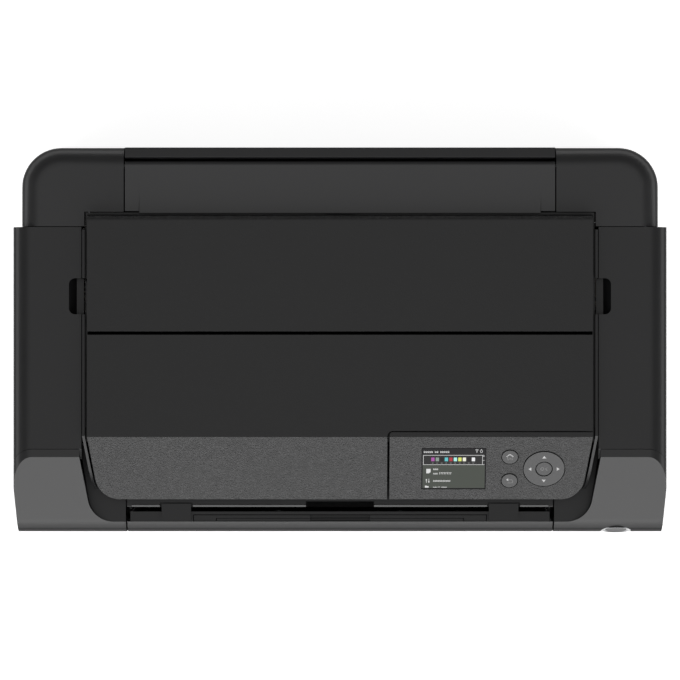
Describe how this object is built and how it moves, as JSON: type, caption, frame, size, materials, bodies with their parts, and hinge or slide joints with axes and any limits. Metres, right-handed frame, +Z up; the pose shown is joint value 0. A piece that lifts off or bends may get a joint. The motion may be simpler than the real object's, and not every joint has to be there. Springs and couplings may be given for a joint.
{
  "type": "inkjet printer",
  "caption": "Wide-format desktop inkjet photo printer with a folding output tray, rear paper feed, sloping operation panel and a full paper and carriage drive inside.",
  "frame": {"origin": "on the table, under the middle of the closed printer's bounding box", "axes": "+X to the printer's right as seen from the front, +Y to the back, +Z up"},
  "size_m": [0.64, 0.3791, 0.2],
  "materials": {
    "cover_black": "fine spark texture, semi-matt",
    "corner_charcoal": "fine spark texture, semi-matt",
    "panel_black": "fine leather-like grain, semi-matt",
    "frame_black": "smooth, semi-matt",
    "inner_grey": "smooth, matt",
    "gear_white": "natural acetal, satin",
    "key_black": "smooth, satin",
    "foot_rubber": "matt",
    "roller_rubber": "ground, matt",
    "display_window": "clear-coated, glossy",
    "display_module": "diffuser film",
    "ring_chrome": "bright plated",
    "power_cap": "silver painted, satin",
    "sheet_steel": "zinc plated, satin",
    "shaft_steel": "ground, bright",
    "roller_steel": "ceramic-coated, matt",
    "brass": "machined",
    "circuit_green": "solder mask",
    "supply_case": "pressed, satin",
    "belt_rubber": "matt",
    "strip_film": "printed film",
    "screw_black": "black oxide",
    "tank_black": "smooth, satin",
    "socket_metal": "tinned"
  },
  "bodies": {
    "housing": {"base_pan": "frame_black", "rubber_feet": "foot_rubber", "left_side_cover": "cover_black", "right_side_cover": "cover_black", "front_left_corner": "corner_charcoal", "front_right_corner": "corner_charcoal", "rear_cover": "cover_black", "case_screws": "screw_black", "front_frame": "frame_black", "access_frame": "frame_black", "front_top_panel": "panel_black", "operation_panel": "panel_black", "lcd_window": "display_window", "lcd_module": "display_module", "panel_board": "circuit_green", "power_button_ring": "ring_chrome", "rear_tray": "frame_black", "feed_motor": "sheet_steel", "platen": "frame_black", "exit_guide": "frame_black", "chassis": "sheet_steel", "carriage_shaft": "shaft_steel", "encoder_strip": "strip_film", "drive_belt": "belt_rubber", "carriage_motor": "sheet_steel", "purge_base": "inner_grey", "main_board": "circuit_green", "power_supply": "supply_case", "rear_connectors": "socket_metal"},
    "home_button": {"home_button": "key_black"},
    "back_button": {"back_button": "key_black"},
    "four_way_ring": {"four_way_ring": "key_black"},
    "ok_button": {"ok_button": "key_black"},
    "power_button": {"power_button": "power_cap"},
    "top_cover": {"top_cover": "panel_black"},
    "rear_tray_cover": {"rear_tray_cover": "cover_black"},
    "paper_support": {"paper_support": "frame_black"},
    "paper_support_extension": {"paper_support_extension": "cover_black"},
    "left_paper_guide": {"left_paper_guide": "inner_grey"},
    "right_paper_guide": {"right_paper_guide": "inner_grey"},
    "guide_pinion": {"guide_pinion": "gear_white"},
    "pickup_roller": {"pickup_roller": "roller_rubber"},
    "idler_gear": {"idler_gear": "gear_white"},
    "feed_motor_pinion": {"feed_motor_pinion": "brass"},
    "pinch_rollers": {"pinch_rollers": "inner_grey"},
    "exit_roller": {"exit_roller": "roller_rubber"},
    "star_wheels": {"star_wheels": "shaft_steel"},
    "motor_pulley": {"motor_pulley": "gear_white"},
    "idler_pulley": {"idler_pulley": "gear_white"},
    "cap_holder": {"cap_holder": "inner_grey"},
    "wiper": {"wiper": "roller_rubber"},
    "tray_extension": {"tray_extension": "frame_black"},
    "tray_end_extension": {"tray_end_extension": "frame_black"},
    "feed_roller": {"feed_roller": "roller_steel", "feed_gear": "gear_white"},
    "carriage": {"carriage": "frame_black", "print_head": "inner_grey", "ink_tanks": "tank_black"},
    "output_tray": {"output_tray": "corner_charcoal", "tray_liner": "frame_black"}
  },
  "joints": [
    {"name": "top_cover_hinge", "type": "hinge", "parent": "housing", "child": "top_cover", "pos_m": [0, 0.1175, 0.194], "axis": [-1, 0, 0], "range_deg": [0, 75]},
    {"name": "rear_tray_cover_hinge", "type": "hinge", "parent": "housing", "child": "rear_tray_cover", "pos_m": [0, 0.1715, 0.184], "axis": [-1, 0, 0], "range_deg": [0, 100]},
    {"name": "paper_support_slide", "type": "slide", "parent": "housing", "child": "paper_support", "axis": [0, 0.2588, 0.9659], "range_m": [0, 0.07]},
    {"name": "paper_support_extension_slide", "type": "slide", "parent": "paper_support", "child": "paper_support_extension", "axis": [0, 0.2588, 0.9659], "range_m": [0, 0.065]},
    {"name": "left_paper_guide_slide", "type": "slide", "parent": "housing", "child": "left_paper_guide", "axis": [1, 0, 0], "range_m": [0, 0.115]},
    {"name": "right_paper_guide_slide", "type": "slide", "parent": "housing", "child": "right_paper_guide", "axis": [-1, 0, 0], "range_m": [0, 0.115]},
    {"name": "guide_pinion_spin", "type": "hinge", "parent": "housing", "child": "guide_pinion", "pos_m": [0, 0.16284, 0.14388], "axis": [0, -0.9659, 0.2588], "range_deg": [-661, 1]},
    {"name": "pickup_roller_spin", "type": "hinge", "parent": "housing", "child": "pickup_roller", "pos_m": [0, 0.141, 0.104], "axis": [1, 0, 0], "continuous": true},
    {"name": "feed_roller_spin", "type": "hinge", "parent": "housing", "child": "feed_roller", "pos_m": [0, 0.112, 0.088], "axis": [1, 0, 0], "continuous": true},
    {"name": "idler_gear_spin", "type": "hinge", "parent": "housing", "child": "idler_gear", "pos_m": [-0.2525, 0.05825, 0.088], "axis": [1, 0, 0], "continuous": true},
    {"name": "feed_motor_spin", "type": "hinge", "parent": "housing", "child": "feed_motor_pinion", "pos_m": [-0.2525, 0.13369, 0.06215], "axis": [1, 0, 0], "continuous": true},
    {"name": "pinch_roller_spin", "type": "hinge", "parent": "housing", "child": "pinch_rollers", "pos_m": [0, 0.112, 0.09955], "axis": [1, 0, 0], "continuous": true},
    {"name": "exit_roller_spin", "type": "hinge", "parent": "housing", "child": "exit_roller", "pos_m": [0, 0.0045, 0.088], "axis": [1, 0, 0], "continuous": true},
    {"name": "star_wheel_spin", "type": "hinge", "parent": "housing", "child": "star_wheels", "pos_m": [0, 0.0045, 0.10065], "axis": [1, 0, 0], "continuous": true},
    {"name": "carriage_slide", "type": "slide", "parent": "housing", "child": "carriage", "axis": [-1, 0, 0], "range_m": [0, 0.385]},
    {"name": "motor_pulley_spin", "type": "hinge", "parent": "housing", "child": "motor_pulley", "pos_m": [-0.226, 0.134, 0.142], "axis": [0, 0, 1], "continuous": true},
    {"name": "idler_pulley_spin", "type": "hinge", "parent": "housing", "child": "idler_pulley", "pos_m": [0.286, 0.134, 0.142], "axis": [0, 0, 1], "continuous": true},
    {"name": "cap_lift", "type": "slide", "parent": "housing", "child": "cap_holder", "axis": [0, 0, 1], "range_m": [-0.004, 0]},
    {"name": "wiper_slide", "type": "slide", "parent": "housing", "child": "wiper", "axis": [0, -1, 0], "range_m": [0, 0.044]},
    {"name": "output_tray_hinge", "type": "hinge", "parent": "housing", "child": "output_tray", "pos_m": [0, -0.176, 0.022], "axis": [1, 0, 0], "range_deg": [0, 88]},
    {"name": "tray_extension_slide", "type": "slide", "parent": "output_tray", "child": "tray_extension", "axis": [0, 0, 1], "range_m": [0, 0.095]},
    {"name": "tray_end_extension_slide", "type": "slide", "parent": "tray_extension", "child": "tray_end_extension", "axis": [0, 0, 1], "range_m": [0, 0.085]},
    {"name": "home_button_press", "type": "slide", "parent": "housing", "child": "home_button", "axis": [0, 0.5225, -0.8526], "range_m": [0, 0.001], "stiffness_N_per_m": 400, "springref_m": -0.0006},
    {"name": "back_button_press", "type": "slide", "parent": "housing", "child": "back_button", "axis": [0, 0.5225, -0.8526], "range_m": [0, 0.001], "stiffness_N_per_m": 400, "springref_m": -0.0006},
    {"name": "four_way_ring_press", "type": "slide", "parent": "housing", "child": "four_way_ring", "axis": [0, 0.5225, -0.8526], "range_m": [0, 0.001], "stiffness_N_per_m": 600, "springref_m": -0.0006},
    {"name": "ok_button_press", "type": "slide", "parent": "housing", "child": "ok_button", "axis": [0, 0.5225, -0.8526], "range_m": [0, 0.001], "stiffness_N_per_m": 400, "springref_m": -0.0006},
    {"name": "power_button_press", "type": "slide", "parent": "housing", "child": "power_button", "axis": [0, 0.9816, -0.1908], "range_m": [0, 0.002], "stiffness_N_per_m": 400, "springref_m": -0.0006}
  ],
  "couplings": [
    {"joint": "idler_gear_spin", "follows": "feed_roller_spin", "ratio": -0.86957},
    {"joint": "feed_motor_spin", "follows": "feed_roller_spin", "ratio": -2.8571},
    {"joint": "exit_roller_spin", "follows": "feed_roller_spin", "ratio": 1},
    {"joint": "pinch_roller_spin", "follows": "feed_roller_spin", "ratio": -2.3529},
    {"joint": "star_wheel_spin", "follows": "feed_roller_spin", "ratio": -1.5},
    {"joint": "right_paper_guide_slide", "follows": "left_paper_guide_slide", "ratio": 1},
    {"joint": "guide_pinion_spin", "follows": "left_paper_guide_slide", "rad_per_m": -100},
    {"joint": "motor_pulley_spin", "follows": "carriage_slide", "rad_per_m": -178.57},
    {"joint": "idler_pulley_spin", "follows": "carriage_slide", "rad_per_m": -178.57}
  ]
}
